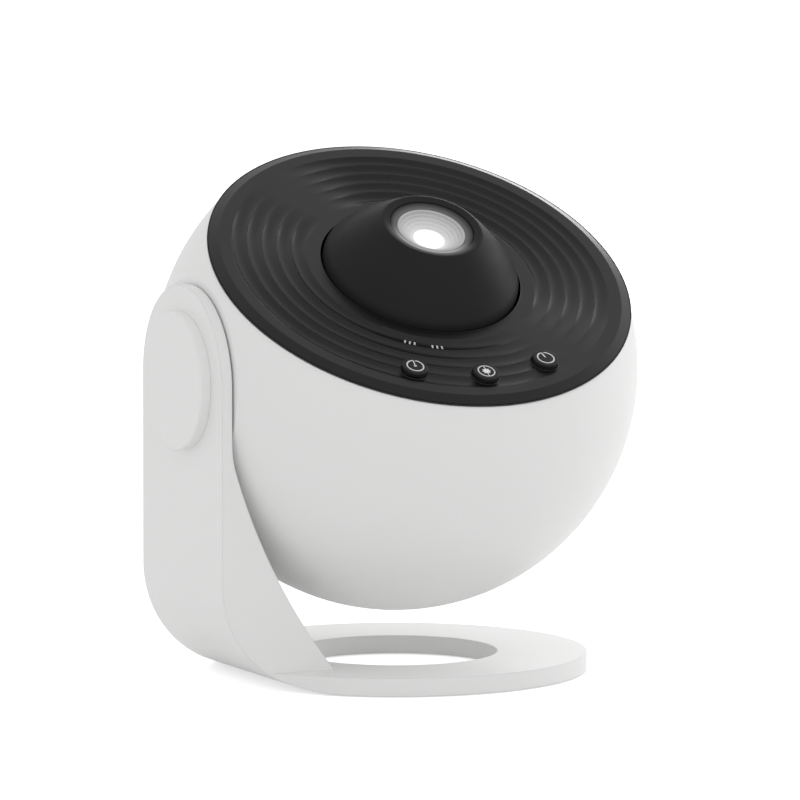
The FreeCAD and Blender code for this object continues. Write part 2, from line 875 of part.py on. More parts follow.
ball = combine("Cut", "ball_shell", ball_wall, join("ball_cuts", ball_cuts))
in_head(ball, "ball_shell")

# Top cover: plate with a rounded edge, skirt with snap hooks, well for the hood, posts
# and crescent ripples that fade out on two opposite sides

cover = new_body("cover_blank")
edge_radius = (S["edge_width"] * S["edge_width"] + S["edge_drop"] * S["edge_drop"]) / (
    2 * S["edge_drop"]
)
revolve(
    cover,
    "cover_form",
    [
        (well_radius, cover_top),
        (well_radius, floor_top),
        (disc_door, floor_top),
        (disc_door, floor_bottom),
        (well_outer, floor_bottom),
        (well_outer, cover_under),
        (skirt_inner, cover_under),
        (skirt_inner, skirt_bottom),
        (skirt_outer, skirt_bottom),
        (skirt_outer, edge_bottom),
        (cover_radius, edge_bottom),
        (cover_radius, cover_top - S["edge_drop"]),
        (cover_radius - S["edge_width"], cover_top, edge_radius, 1),
    ],
)
hook = revolve(
    cover,
    "snap_hook",
    [
        (skirt_outer - 0.8, skirt_bottom + 1),
        (skirt_outer, skirt_bottom + 1),
        (skirt_outer + S["hook_reach"], lip_bottom - 1),
        (skirt_outer + S["hook_reach"], lip_bottom - 0.2),
        (skirt_outer - 0.8, lip_bottom - 0.2),
    ],
    turn=S["hook_angle"],
)
around(cover, "snap_hooks", hook, S["hook_count"])
post_spots = [point_at(post_circle, bearing) for bearing in (-125, -62, 62, 125)]
board_spots = [
    point_at((board_inner + board_outer) / 2, S["board_post_spread"] * side)
    for side in (-1, 1)
]
button_spots = [point_at(button_circle, S["button_spread"] * side) for side in (-1, 0, 1)]
pad(
    cover,
    "deck_posts",
    cover_under - deck_top + 0.5,
    cover_under + 0.5,
    circles=[(x, y, S["post_radius"]) for x, y in post_spots],
    down=True,
)
pad(
    cover,
    "board_posts",
    cover_under - board_top + 0.5,
    cover_under + 0.5,
    circles=[(x, y, S["post_radius"]) for x, y in board_spots],
    down=True,
)
pocket(
    cover,
    "deck_post_holes",
    9,
    deck_top,
    circles=[(x, y, S["screw_radius"] + S["screw_play"]) for x, y in post_spots],
    up=True,
)
pocket(
    cover,
    "board_post_holes",
    6,
    board_top,
    circles=[(x, y, S["screw_radius"] + S["screw_play"]) for x, y in board_spots],
    up=True,
)
ridges = []
for family in (1, -1):
    for number in range(int(S["ripple_count"].value)):
        crest = mouth_radius - S["ripple_first"] + number * S["ripple_pitch"]
        ridge = doc.addObject("Part::Torus", "ripple_ring")
        ridge.setExpression("Radius1", crest.formula)
        ridge.setExpression("Radius2", S["ripple_round"].formula)
        lean = family * math.degrees(math.asin(S["ripple_rise"].value / crest.value))
        fade = math.radians(S["ripple_turn"].value)
        ridge.Placement = FreeCAD.Placement(
            FreeCAD.Vector(0, 0, 0),
            FreeCAD.Rotation(FreeCAD.Vector(math.cos(fade), math.sin(fade), 0), lean),
        )
        sunk = cover_top - S["ripple_round"] - 0.02
        ridge.setExpression("Placement.Base.z", sunk.formula)
        slab = solid_round("ripple_slab", cover_radius, 3, (0, 0, cover_top - 0.4))
        ridges.append(combine("Common", "ripple", ridge, slab))
cover_ridged = join("cover_ridged", [cover] + ridges)
button_bores = [
    solid_round(
        "button_bore",
        S["button_radius"] + S["button_gap"],
        S["cover_plate"] + 4,
        (x, y, cover_under - 1),
    )
    for x, y in button_spots
]
skirt_relief = solid_box(
    "skirt_relief",
    (-cover_radius, -cover_radius, skirt_bottom - 1),
    (
        cover_radius - facet_inner_x + S["fit_gap"],
        2 * cover_radius,
        S["mouth_height"] + S["shadow_gap"] / 2 - skirt_bottom + 1,
    ),
)
cover_cuts = join("cover_cuts", button_bores + [skirt_relief])
cover_cut = combine("Cut", "top_cover", cover_ridged, cover_cuts)
in_head(cover_cut, "top_cover")

# Buttons, their switches and the control board

for name, (x, y) in zip(("timer_button", "light_button", "power_button"), button_spots):
    button = new_body(name)
    stem_bottom = board_top + S["switch_height"] + S["plunger_height"] + S["button_travel"] + 0.2
    top = cover_top + S["button_proud"]
    radius = S["button_radius"]
    revolve(
        button,
        name + "_form",
        [
            (0, stem_bottom),
            (1.6, stem_bottom),
            (1.6, cover_under - 1.5),
            (radius + 0.95, cover_under - 1.5),
            (radius + 0.95, cover_under - 0.2),
            (radius, cover_under - 0.2),
            (radius, top - 0.4),
            (radius - 0.4, top, 0.4, 1),
            (0, top),
        ],
    )
    in_head(button, name, x, y)

board = new_body("control_board")
inner_left = point_at(board_inner, -S["board_spread"])
inner_right = point_at(board_inner, S["board_spread"])
outer_left = point_at(board_outer, -S["board_spread"])
outer_right = point_at(board_outer, S["board_spread"])
pad(
    board,
    "board_plate_form",
    S["board_plate"],
    board_bottom,
    loops=[
        [
            outer_left,
            (outer_right[0], outer_right[1], board_outer, 1),
            inner_right,
            (inner_left[0], inner_left[1], board_inner, -1),
        ]
    ],
)
pocket(
    board,
    "board_holes",
    None,
    board_bottom,
    circles=[(x, y, S["screw_radius"] + S["screw_play"]) for x, y in board_spots],
)
in_head(board, "control_board")

switches = new_body("button_switches")
pad(
    switches,
    "switch_cases",
    S["switch_height"],
    board_top,
    loops=[box_loop(x, y, S["switch_side"] / 2, S["switch_side"] / 2) for x, y in button_spots],
)
pad(
    switches,
    "switch_plungers",
    S["plunger_height"],
    board_top + S["switch_height"],
    circles=[(x, y, 1.6) for x, y in button_spots],
)
in_head(switches, "button_switches")


def screws(name, spots, seat, length):
    """Screws with their heads under a seat and their shanks upwards."""
    body = new_body(name)
    pad(
        body,
        name + "_heads",
        S["head_height"],
        seat,
        circles=[(x, y, S["screw_head"]) for x, y in spots],
        down=True,
    )
    pad(
        body,
        name + "_shanks",
        length,
        seat,
        circles=[(x, y, S["screw_radius"]) for x, y in spots],
    )
    in_head(body, name)


screws("board_screws", board_spots, board_bottom, S["board_plate"] + 5)

# Deck that carries the picture disc, its motor and the lamp tube

deck = new_body("deck")
ear_spots = [point_at(S["ear_circle"], bearing) for bearing in (0, 120, -120)]
pad(deck, "deck_form", S["deck_plate"], deck_bottom, circles=[(0, 0, deck_radius)])
pocket(
    deck,
    "deck_bores",
    None,
    deck_bottom,
    circles=[(0, 0, collar_outer + S["run_gap"]), (0, gear_distance, 3.3)],
)
pocket(
    deck,
    "deck_screw_holes",
    None,
    deck_bottom,
    circles=[
        (x, y, S["screw_radius"] + S["screw_play"]) for x, y in post_spots + ear_spots
    ],
)
in_head(deck, "deck")
screws("deck_screws", post_spots, deck_bottom, S["deck_plate"] + 7)

carrier = new_body("disc_carrier")
revolve(
    carrier,
    "carrier_form",
    [
        (film_seat - 2.8, film_bottom - 1),
        (collar_inner, film_bottom - 1),
        (collar_inner, deck_bottom + 0.2),
        (collar_outer, deck_bottom + 0.2),
        (collar_outer, carrier_bottom),
        (carrier_root, carrier_bottom),
        (carrier_root, carrier_top),
        (film_seat, carrier_top),
        (film_seat, film_bottom),
        (film_seat - 2.8, film_bottom),
    ],
)


def tooth_loop(root_radius, tip_radius):
    """One straight-sided tooth on the +X side."""
    module = S["gear_module"]
    return [
        (root_radius - 0.4 * module, -0.95 * module),
        (tip_radius, -0.36 * module),
        (tip_radius, 0.36 * module),
        (root_radius - 0.4 * module, 0.95 * module),
    ]


tooth = pad(
    carrier,
    "carrier_tooth",
    S["face_width"],
    carrier_bottom,
    loops=[tooth_loop(carrier_root, carrier_tip)],
)
around(carrier, "carrier_teeth_ring", tooth, S["carrier_teeth"])
in_head(carrier, "disc_carrier")

film = new_body("picture_disc")
pad(film, "film_form", S["film_height"], film_bottom, circles=[(0, 0, S["film_radius"])])
in_head(film, "picture_disc")

clip = new_body("disc_clip")
pad(
    clip,
    "clip_form",
    0.8,
    film_top,
    circles=[(0, 0, film_seat - 0.05), (0, 0, film_seat - 1.8)],
)
in_head(clip, "disc_clip")

pinion = new_body("motor_pinion")
pad(
    pinion,
    "pinion_core",
    S["face_width"] + 0.6,
    carrier_bottom + 0.1,
    circles=[(0, 0, pinion_root), (0, 0, S["shaft_radius"])],
)
tooth = pad(
    pinion,
    "pinion_tooth",
    S["face_width"],
    carrier_bottom + 0.1,
    loops=[tooth_loop(pinion_root, pinion_tip)],
)
around(pinion, "pinion_teeth_ring", tooth, S["pinion_teeth"])
in_head(pinion, "motor_pinion", 0, gear_distance)

shaft = new_body("motor_shaft")
pad(
    shaft,
    "shaft_form",
    carrier_top - deck_bottom + 4.5,
    deck_bottom - 4,
    circles=[(0, 0, S["shaft_radius"])],
)
in_head(shaft, "motor_shaft", 0, gear_distance)

motor = new_body("disc_motor")
pad(
    motor,
    "motor_can",
    S["motor_height"],
    deck_bottom,
    circles=[(0, 0, S["motor_radius"])],
    down=True,
)
pad(motor, "motor_nose", S["deck_plate"], deck_bottom, circles=[(0, 0, 3.0)])
pocket(
    motor,
    "motor_bearing",
    S["deck_plate"] + 4.5,
    deck_top,
    circles=[(0, 0, S["shaft_radius"] + S["run_gap"])],
)
in_head(motor, "disc_motor", 0, gear_distance)

# Lamp tube with the condenser, lamp and heat sink

tube = new_body("lamp_tube")
seat_level = deck_bottom - S["condenser_seat"]
revolve(
    tube,
    "tube_form",
    [
        (tube_bore, tube_bottom),
        (S["tube_radius"], tube_bottom),
        (S["tube_radius"], deck_bottom),
        (tube_bore, deck_bottom),
        (tube_bore, seat_level),
        (tube_bore - 1.5, seat_level),
        (tube_bore - 1.5, seat_level - 1.2),
        (tube_bore, seat_level - 1.2),
    ],
)
ear = pad(
    tube,
    "tube_ear",
    2.0,
    deck_bottom,
    loops=[
        [
            (-S["ear_radius"], -(tube_bore + 1)),
            (-S["ear_radius"], -S["ear_circle"]),
            (0, -(S["ear_circle"] + S["ear_radius"]), S["ear_radius"], 1),
            (S["ear_radius"], -S["ear_circle"], S["ear_radius"], 1),
            (S["ear_radius"], -(tube_bore + 1)),
        ]
    ],
    down=True,
)
around(tube, "tube_ears", ear, 3)
pocket(
    tube,
    "ear_holes",
    3.0,
    deck_bottom,
    circles=[(x, y, S["screw_radius"] + S["screw_play"]) for x, y in ear_spots],
)
in_head(tube, "lamp_tube")
screws("tube_screws", ear_spots, deck_bottom - 2.0, S["deck_plate"] + 1.5)

condenser = new_body("condenser_lens")
crown_radius = (
    (tube_bore - 0.1) * (tube_bore - 0.1)
    + (S["condenser_crown"] - S["condenser_edge"])
    * (S["condenser_crown"] - S["condenser_edge"])
) / (2 * (S["condenser_crown"] - S["condenser_edge"]))
revolve(
    condenser,
    "condenser_form",
    [
        (0, seat_level),
        (tube_bore - 0.1, seat_level),
        (tube_bore - 0.1, seat_level + S["condenser_edge"]),
        (0, seat_level + S["condenser_crown"], crown_radius, 1),
    ],
)
in_head(condenser, "condenser_lens")

sink = new_body("heat_sink")
pad(sink, "sink_base", S["sink_plate"], tube_bottom, circles=[(0, 0, S["tube_radius"])], down=True)
pad(
    sink,
    "sink_fins",
    S["fin_height"],
    tube_bottom - S["sink_plate"],
    loops=[
        box_loop(size(0), number * S["fin_pitch"], S["tube_radius"] * 0.68, S["fin_wall"] / 2)
        for number in (-3, -2, -1, 0, 1, 2, 3)
    ],
    down=True,
)
in_head(sink, "heat_sink")

lamp_board = new_body("lamp_board")
pad(
    lamp_board,
    "lamp_board_form",
    S["lamp_board_plate"],
    tube_bottom,
    circles=[(0, 0, S["lamp_board_radius"])],
)
in_head(lamp_board, "lamp_board")

lamp = new_body("lamp")
pad(
    lamp,
    "lamp_form",
    S["lamp_height"],
    tube_bottom + S["lamp_board_plate"],
    loops=[box_loop(size(0), size(0), S["lamp_side"] / 2, S["lamp_side"] / 2)],
)
in_head(lamp, "lamp")

# Lens guide with straight slots, lens barrel with pins and stepped front, lenses

guide = new_body("lens_guide")
guide_top = S["pin_height"] + 10
revolve(
    guide,
    "guide_form",
    [
        (guide_bore, floor_bottom - 3),
        (guide_outer, floor_bottom - 3),
        (guide_outer, floor_top),
        (well_radius - 0.3, floor_top),
        (well_radius - 0.3, floor_top + 1.4),
        (guide_outer, floor_top + 1.4),
        (guide_outer, guide_top),
        (guide_bore, guide_top),
    ],
)
slot = pocket(
    guide,
    "guide_slot",
    guide_outer + 2,
    0,
    role="YZ_Plane",
    loops=[
        box_loop(
            size(0), S["pin_height"], slot_half, S["focus_travel"] + S["pin_radius"] + 0.4
        )
    ],
    up=True,
)
around(guide, "guide_slots", slot, 3)
in_head(guide, "lens_guide")

barrel = new_body("lens_barrel")
lens_bore = S["barrel_radius"] - S["barrel_wall"]
front_seat = cover_top + 10.9
barrel_top = front_seat + 3.6
barrel_bottom = floor_bottom - 1.4
revolve(
    barrel,
    "barrel_form",
    [
        (lens_bore, barrel_bottom),
        (S["barrel_radius"], barrel_bottom),
        (S["barrel_radius"], barrel_top),
        (9.2, barrel_top),
        (9.2, barrel_top - 0.6),
        (8.4, barrel_top - 0.6),
        (8.4, barrel_top - 1.3),
        (7.5, barrel_top - 1.3),
        (7.5, barrel_top - 2.0),
        (6.6, barrel_top - 2.0),
        (6.6, barrel_top - 2.7),
        (5.7, barrel_top - 2.7),
        (5.7, front_seat),
        (lens_bore, front_seat),
    ],
)
pin_sketch_level = lens_bore + 0.3
pin = pad(
    barrel,
    "guide_pin",
    sleeve_outer - 0.4 - pin_sketch_level,
    pin_sketch_level,
    role="YZ_Plane",
    circles=[(0, S["pin_height"], S["pin_radius"])],
)
around(barrel, "guide_pins", pin, 3)
in_head(barrel, "lens_barrel")

front_lens = new_body("front_lens")
lens_radius = lens_bore - 0.05
front_dome = (5.5 * 5.5 + 1.3 * 1.3) / (2 * 1.3)
revolve(
    front_lens,
    "front_lens_form",
    [
        (0, front_seat - 4.6),
        (lens_radius, front_seat - 4.6),
        (lens_radius, front_seat),
        (5.5, front_seat),
        (0, front_seat + 1.3, front_dome, 1),
    ],
)
in_head(front_lens, "front_lens")

spacer = new_body("lens_spacer")
spacer_bottom = barrel_bottom + 6
pad(
    spacer,
    "spacer_form",
    front_seat - 4.6 - spacer_bottom,
    spacer_bottom,
    circles=[(0, 0, lens_radius), (0, 0, lens_radius - 0.9)],
)
in_head(spacer, "lens_spacer")

rear_lens = new_body("rear_lens")
rear_dome = (lens_radius * lens_radius + 2.0 * 2.0) / (2 * 2.0)
revolve(
    rear_lens,
    "rear_lens_form",
    [
        (0, spacer_bottom),
        (0, barrel_bottom + 1.5 - 0.5),
        (lens_radius, barrel_bottom + 1.5 + 1.5, rear_dome, 1),
        (lens_radius, spacer_bottom),
    ],
)
in_head(rear_lens, "rear_lens")

lens_ring = new_body("lens_ring")
pad(
    lens_ring,
    "lens_ring_form",
    1.5,
    barrel_bottom,
    circles=[(0, 0, lens_radius), (0, 0, lens_radius - 1.5)],
)
in_head(lens_ring, "lens_ring")

# Focus hood: cone with a rounded shoulder over a cam sleeve with three helical slots

hood = new_body("focus_hood")
shoulder_r = S["hood_radius"] - 1.6
shoulder_w = cover_top + 3.8
groove_edge = S["mouth_radius_hood"] - S["rim_groove"]
wall = S["hood_wall"]
revolve(
    hood,
    "hood_form",
    [
        (S["hood_radius"], hood_bottom),
        (S["hood_radius"], cover_top + 0.3),
        (shoulder_r, shoulder_w, S["shoulder_bend"], 1),
        (S["rim_radius"] + 0.8, hood_top - 0.4, S["flank_bend"], 1),
        (S["rim_radius"], hood_top, 1.4, 1),
        (S["mouth_radius_hood"], hood_top - 0.4),
        (S["mouth_radius_hood"], hood_top - 1.0),
        (groove_edge, hood_top - 1.0),
        (groove_edge, hood_top - 0.7),
        (S["throat_radius"], hood_top - 1.5),
        (S["throat_radius"], hood_top - 6.2),
        (sleeve_inner, hood_top - 7.6),
        (sleeve_inner, hood_bottom + 0.5),
        (sleeve_outer, hood_bottom + 0.5),
        (sleeve_outer, hood_top - 1.9),
        (S["hood_radius"] - wall * 1.15, cover_top + 1.2),
        (S["hood_radius"] - wall, cover_top - 0.5),
        (S["hood_radius"] - wall, hood_bottom),
    ],
)
slot_span = 2 * S["focus_turn"] + 2 * 6.2
slot_pitch = S["focus_travel"] / S["focus_turn"] * 360
slot_rise = slot_pitch * slot_span / 360
helix_sketch = new_sketch(hood, "cam_slot_outline", "XZ_Plane", None, -(slot_span / 2))
add_loop(
    helix_sketch,
    box_loop(
        (sleeve_inner + sleeve_outer) / 2,
        S["pin_height"] - slot_rise / 2,
        S["sleeve_wall"] / 2 + 0.35,
        slot_half + 0.05,
    ),
)
helix = hood.newObject("PartDesign::SubtractiveHelix", "cam_slot")
helix.Profile = helix_sketch
helix.ReferenceAxis = (helix_sketch, ["V_Axis"])
helix.Mode = 0
helix.Pitch = slot_pitch.value
helix.Height = slot_rise.value
helix.setExpression("Pitch", slot_pitch.formula)
helix.setExpression("Height", slot_rise.formula)
helix.LeftHanded = False
hood.Tip = helix
doc.recompute()
around(hood, "cam_slots", helix, 3)
in_head(hood, "focus_hood")

# Power jack at the back of the ball, drawn along its own axis

jack = new_body("power_jack")
revolve(
    jack,
    "jack_form",
    [
        (0, boss_back - 8),
        (6.2, boss_back - 8),
        (6.2, boss_back - 2),
        (7.0, boss_back - 2),
        (7.0, boss_back),
        (S["jack_radius"], boss_back),
        (S["jack_radius"], jack_face),
        (S["jack_bore"], jack_face),
        (S["jack_bore"], jack_face - S["jack_depth"]),
        (0, jack_face - S["jack_depth"]),
    ],
)
tilt = S["tilt_angle"]
place(
    jack,
    0,
    S["jack_drop"] * sine(tilt),
    pivot_height - S["jack_drop"] * cosine(tilt),
    tilt - 90,
)
keep(jack, "power_jack")

doc.recompute()
faults = []
for item in doc.Objects:
    if "Invalid" in item.State or "Error" in item.State:
        faults.append("%s is in state %s" % (item.Name, item.State))
for name, piece in NODES:
    if piece.Shape.isNull() or not piece.Shape.isValid() or not piece.Shape.Solids:
        faults.append("%s has no sound solid" % name)
if faults:
    print("\n".join(faults))
    sys.exit(1)

os.makedirs("parts", exist_ok=True)
for name, piece in NODES:
    piece.Shape.exportStep("parts/%s.step" % name)
    box = piece.Shape.BoundBox
    print(
        "%-18s solids %d volume %.1f box %.2f %.2f %.2f to %.2f %.2f %.2f"
        % (
            name,
            len(piece.Shape.Solids),
            piece.Shape.Volume,
            box.XMin,
            box.YMin,
            box.ZMin,
            box.XMax,
            box.YMax,
            box.ZMax,
        )
    )
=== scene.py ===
import bmesh
import bpy
import json
import math
from mathutils import Matrix, Vector


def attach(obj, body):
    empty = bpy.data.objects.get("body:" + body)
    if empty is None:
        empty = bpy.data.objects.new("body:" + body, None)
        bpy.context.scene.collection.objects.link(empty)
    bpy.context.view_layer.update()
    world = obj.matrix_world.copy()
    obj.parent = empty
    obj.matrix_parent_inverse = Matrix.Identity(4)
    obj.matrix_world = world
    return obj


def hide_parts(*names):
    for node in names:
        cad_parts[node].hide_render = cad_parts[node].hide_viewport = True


# Looks of the disc planetarium projector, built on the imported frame. Lengths in metres.

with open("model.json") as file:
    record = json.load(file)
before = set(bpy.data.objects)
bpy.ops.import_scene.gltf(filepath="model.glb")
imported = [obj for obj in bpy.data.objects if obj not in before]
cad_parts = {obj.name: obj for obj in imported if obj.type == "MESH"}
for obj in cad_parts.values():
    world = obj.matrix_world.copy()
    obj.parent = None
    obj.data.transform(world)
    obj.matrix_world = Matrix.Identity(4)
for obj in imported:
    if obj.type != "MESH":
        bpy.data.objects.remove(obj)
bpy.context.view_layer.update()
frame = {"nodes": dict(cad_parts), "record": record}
nodes = frame["nodes"]
MM = 0.001

# The ball and its lens axis, which leans to the front

BALL_CENTRE = Vector((0.0, 0.0, 0.088))
LEAN = math.radians(30.0)
SIDE = Vector((1.0, 0.0, 0.0))
BACK = Vector((0.0, math.cos(LEAN), math.sin(LEAN)))
LENS_AXIS = Vector((0.0, -math.sin(LEAN), math.cos(LEAN)))


def head_point(side, back, height):
    """A point in the leaning frame of the ball, from millimetres."""
    return BALL_CENTRE + (SIDE * side + BACK * back + LENS_AXIS * height) * MM


# Camera: a long lens, low and to the left of the front

VIEW_TURN = math.radians(25.17)
VIEW_RISE = math.radians(7.6)
VIEW_DISTANCE = 5.0
PIXELS_PER_METRE = 3472.5
PICTURE_WIDTH_PIXELS = 800.0
PIXELS_RIGHT_OF_BALL = 5.0
PIXELS_BELOW_BALL = 32.9
SENSOR_WIDTH = 36.0


def make_camera():
    towards = Vector(
        (
            -math.sin(VIEW_TURN) * math.cos(VIEW_RISE),
            -math.cos(VIEW_TURN) * math.cos(VIEW_RISE),
            math.sin(VIEW_RISE),
        )
    )
    right = Vector((math.cos(VIEW_TURN), -math.sin(VIEW_TURN), 0.0))
    up = right.cross(-towards)
    aside = right * (PIXELS_RIGHT_OF_BALL / PIXELS_PER_METRE)
    below = up * (PIXELS_BELOW_BALL / PIXELS_PER_METRE)
    middle = BALL_CENTRE + aside - below
    data = bpy.data.cameras.new("camera")
    data.sensor_width = SENSOR_WIDTH
    data.lens = PIXELS_PER_METRE * VIEW_DISTANCE * SENSOR_WIDTH / PICTURE_WIDTH_PIXELS
    data.clip_start = 0.1
    data.clip_end = 50.0
    camera = bpy.data.objects.new("camera", data)
    camera.location = middle + towards * VIEW_DISTANCE
    turn = Matrix((right, up, towards)).transposed()
    camera.rotation_euler = turn.to_euler()
    bpy.context.scene.collection.objects.link(camera)
    bpy.context.scene.camera = camera


make_camera()
bpy.context.scene.view_settings.view_transform = "Standard"


# Node helpers


def add_node(tree, kind, **values):
    """Adds a node. Each value goes to the input of that name, or else to the node's own setting."""
    node = tree.nodes.new(kind)
    for name, value in values.items():
        key = name.replace("_", " ")
        if key in node.inputs:
            node.inputs[key].default_value = value
        else:
            setattr(node, name, value)
    return node


def new_group(name, inputs, outputs):
    """Starts a node group and gives back its tree, its input node and its output node."""
    tree = bpy.data.node_groups.new(name, "ShaderNodeTree")
    for label, kind, value in inputs:
        socket = tree.interface.new_socket(label, in_out="INPUT", socket_type=kind)
        socket.default_value = value
    for label, kind in outputs:
        tree.interface.new_socket(label, in_out="OUTPUT", socket_type=kind)
    return tree, tree.nodes.new("NodeGroupInput"), tree.nodes.new("NodeGroupOutput")


def place_group(tree, group, **values):
    """Places a node group in a material with the material's own values."""
    node = add_node(tree, "ShaderNodeGroup", node_tree=group)
    for name, value in values.items():
        node.inputs[name].default_value = value
    return node


def calculate(tree, operation, first, second):
    """A math node on two sockets or numbers."""
    node = add_node(tree, "ShaderNodeMath", operation=operation)
    for slot, value in enumerate((first, second)):
        if isinstance(value, (int, float)):
            node.inputs[slot].default_value = value
        else:
            tree.links.new(value, node.inputs[slot])
    return node.outputs[0]


def blend_colours(tree, share, first, second, kind="MIX"):
    """Two colours in one. A mix node's colour inputs are its sockets 6 and 7, its colour output 2."""
    node = add_node(tree, "ShaderNodeMix", data_type="RGBA", blend_type=kind)
    for slot, value in ((0, share), (6, first), (7, second)):
        if isinstance(value, (int, float, tuple)):
            node.inputs[slot].default_value = value
        else:
            tree.links.new(value, node.inputs[slot])
    return node.outputs[2]


def grey_from(tree, level):
    shade = add_node(tree, "ShaderNodeCombineColor")
    for slot in range(3):
        tree.links.new(level, shade.inputs[slot])
    return shade.outputs[0]


def noise_at(tree, place, **values):
    """Noise that is fixed to the piece."""
    texture = add_node(tree, "ShaderNodeTexNoise", **values)
    tree.links.new(place, texture.inputs["Vector"])
    return texture


def from_ball_centre(tree):
    """The place on a piece, measured from the centre of the ball."""
    place = add_node(tree, "ShaderNodeTexCoord")
    offset = add_node(tree, "ShaderNodeVectorMath", operation="SUBTRACT")
    offset.inputs[1].default_value = BALL_CENTRE
    tree.links.new(place.outputs["Object"], offset.inputs[0])
    return offset.outputs[0]


# Effects that several materials share

SHEEN_SPREAD = 0.12
EDGE_RADIUS = 0.45 * MM
EDGE_MASK_GAIN = 6.0
DRAWN_LINE_SCALE = (120.0, 2600.0, 2600.0)
SPOT_DEPTH = 0.25
SPOT_BASE = 0.88
LINE_SHEEN_SPREAD = 0.2


def grain_group():
    """Fine spark-eroded grain of moulded plastic, with faint clouds in tone and sheen."""
    tree, given, result = new_group(
        "moulded_grain",
        [
            ("Colour", "NodeSocketColor", (0.8, 0.8, 0.8, 1.0)),
            ("Clouds", "NodeSocketFloat", 0.02),
            ("Sheen", "NodeSocketFloat", 0.5),
            ("Fineness", "NodeSocketFloat", 3000.0),
        ],
        [
            ("Colour", "NodeSocketColor"),
            ("Roughness", "NodeSocketFloat"),
            ("Height", "NodeSocketFloat"),
        ],
    )
    place = add_node(tree, "ShaderNodeTexCoord").outputs["Object"]
    fine = noise_at(tree, place, Detail=3.0, Roughness=0.6)
    cloud = noise_at(tree, place, Scale=38.0, Detail=2.0)
    smear = noise_at(tree, place, Scale=140.0, Detail=3.0)
    tree.links.new(given.outputs["Fineness"], fine.inputs["Scale"])
    tone = calculate(tree, "SUBTRACT", cloud.outputs[0], 0.5)
    tone = calculate(tree, "MULTIPLY", tone, given.outputs["Clouds"])
    tone = grey_from(tree, calculate(tree, "ADD", tone, 1.0))
    tinted = blend_colours(tree, 1.0, given.outputs["Colour"], tone, "MULTIPLY")
    tree.links.new(tinted, result.inputs["Colour"])
    polish = calculate(tree, "SUBTRACT", smear.outputs[0], 0.5)
    polish = calculate(tree, "MULTIPLY", polish, SHEEN_SPREAD)
    polish = calculate(tree, "ADD", polish, given.outputs["Sheen"])
    tree.links.new(polish, result.inputs["Roughness"])
    tree.links.new(fine.outputs[0], result.inputs["Height"])
    return tree


def edge_group():
    """Softened edges: a normal that rounds them and a mask that finds them."""
    tree, _, result = new_group(
        "softened_edges",
        [],
        [("Normal", "NodeSocketVector"), ("Edge", "NodeSocketFloat")],
    )
    soft = add_node(tree, "ShaderNodeBevel", samples=4, Radius=EDGE_RADIUS)
    flat = add_node(tree, "ShaderNodeNewGeometry")
    match = add_node(tree, "ShaderNodeVectorMath", operation="DOT_PRODUCT")
    tree.links.new(soft.outputs[0], match.inputs[0])
    tree.links.new(flat.outputs["Normal"], match.inputs[1])
    away = calculate(tree, "SUBTRACT", 1.0, match.outputs["Value"])
    away = calculate(tree, "MULTIPLY", away, EDGE_MASK_GAIN)
    away = calculate(tree, "MINIMUM", away, 1.0)
    tree.links.new(soft.outputs[0], result.inputs["Normal"])
    tree.links.new(away, result.inputs["Edge"])
    return tree


def brushed_group():
    """Fine drawn lines and cloudy tone of bare metal."""
    tree, given, result = new_group(
        "brushed_lines",
        [
            ("Colour", "NodeSocketColor", (0.6, 0.6, 0.62, 1.0)),
            ("Sheen", "NodeSocketFloat", 0.32),
        ],
        [
            ("Colour", "NodeSocketColor"),
            ("Roughness", "NodeSocketFloat"),
            ("Height", "NodeSocketFloat"),
        ],
    )
    place = add_node(tree, "ShaderNodeTexCoord").outputs["Object"]
    stretch = add_node(tree, "ShaderNodeMapping", Scale=DRAWN_LINE_SCALE)
    tree.links.new(place, stretch.inputs["Vector"])
    lines = noise_at(tree, stretch.outputs[0], Scale=1.0, Detail=2.0)
    spots = noise_at(tree, place, Scale=220.0, Detail=2.0)
    tone = calculate(tree, "MULTIPLY", spots.outputs[0], SPOT_DEPTH)
    tone = grey_from(tree, calculate(tree, "ADD", tone, SPOT_BASE))
    tinted = blend_colours(tree, 1.0, given.outputs["Colour"], tone, "MULTIPLY")
    tree.links.new(tinted, result.inputs["Colour"])
    polish = calculate(tree, "MULTIPLY", lines.outputs[0], LINE_SHEEN_SPREAD)
    polish = calculate(tree, "ADD", polish, given.outputs["Sheen"])
    polish = calculate(tree, "SUBTRACT", polish, LINE_SHEEN_SPREAD / 2)
    tree.links.new(polish, result.inputs["Roughness"])
    tree.links.new(lines.outputs[0], result.inputs["Height"])
    return tree


def axis_light_group():
    """Lamp light that changes smoothly from one distance to another from the lens axis."""
    tree, given, result = new_group(
        "light_round_the_lens_axis",
        [
            ("Inner", "NodeSocketFloat", 5.0 * MM),
            ("Outer", "NodeSocketFloat", 10.0 * MM),
            ("Inner light", "NodeSocketFloat", 1.0),
            ("Outer light", "NodeSocketFloat", 0.0),
        ],
        [("Light", "NodeSocketFloat")],
    )
    across = add_node(tree, "ShaderNodeVectorMath", operation="CROSS_PRODUCT")
    across.inputs[1].default_value = LENS_AXIS
    tree.links.new(from_ball_centre(tree), across.inputs[0])
    length = add_node(tree, "ShaderNodeVectorMath", operation="LENGTH")
    tree.links.new(across.outputs[0], length.inputs[0])
    ramp = add_node(tree, "ShaderNodeMapRange", interpolation_type="SMOOTHSTEP")
    tree.links.new(length.outputs["Value"], ramp.inputs["Value"])
    ends = {
        "Inner": "From Min",
        "Outer": "From Max",
        "Inner light": "To Min",
        "Outer light": "To Max",
    }
    for label, end in ends.items():
        tree.links.new(given.outputs[label], ramp.inputs[end])
    tree.links.new(ramp.outputs[0], result.inputs["Light"])
    return tree


GRAIN = grain_group()
EDGES = edge_group()
BRUSHED = brushed_group()
AXIS_LIGHT = axis_light_group()


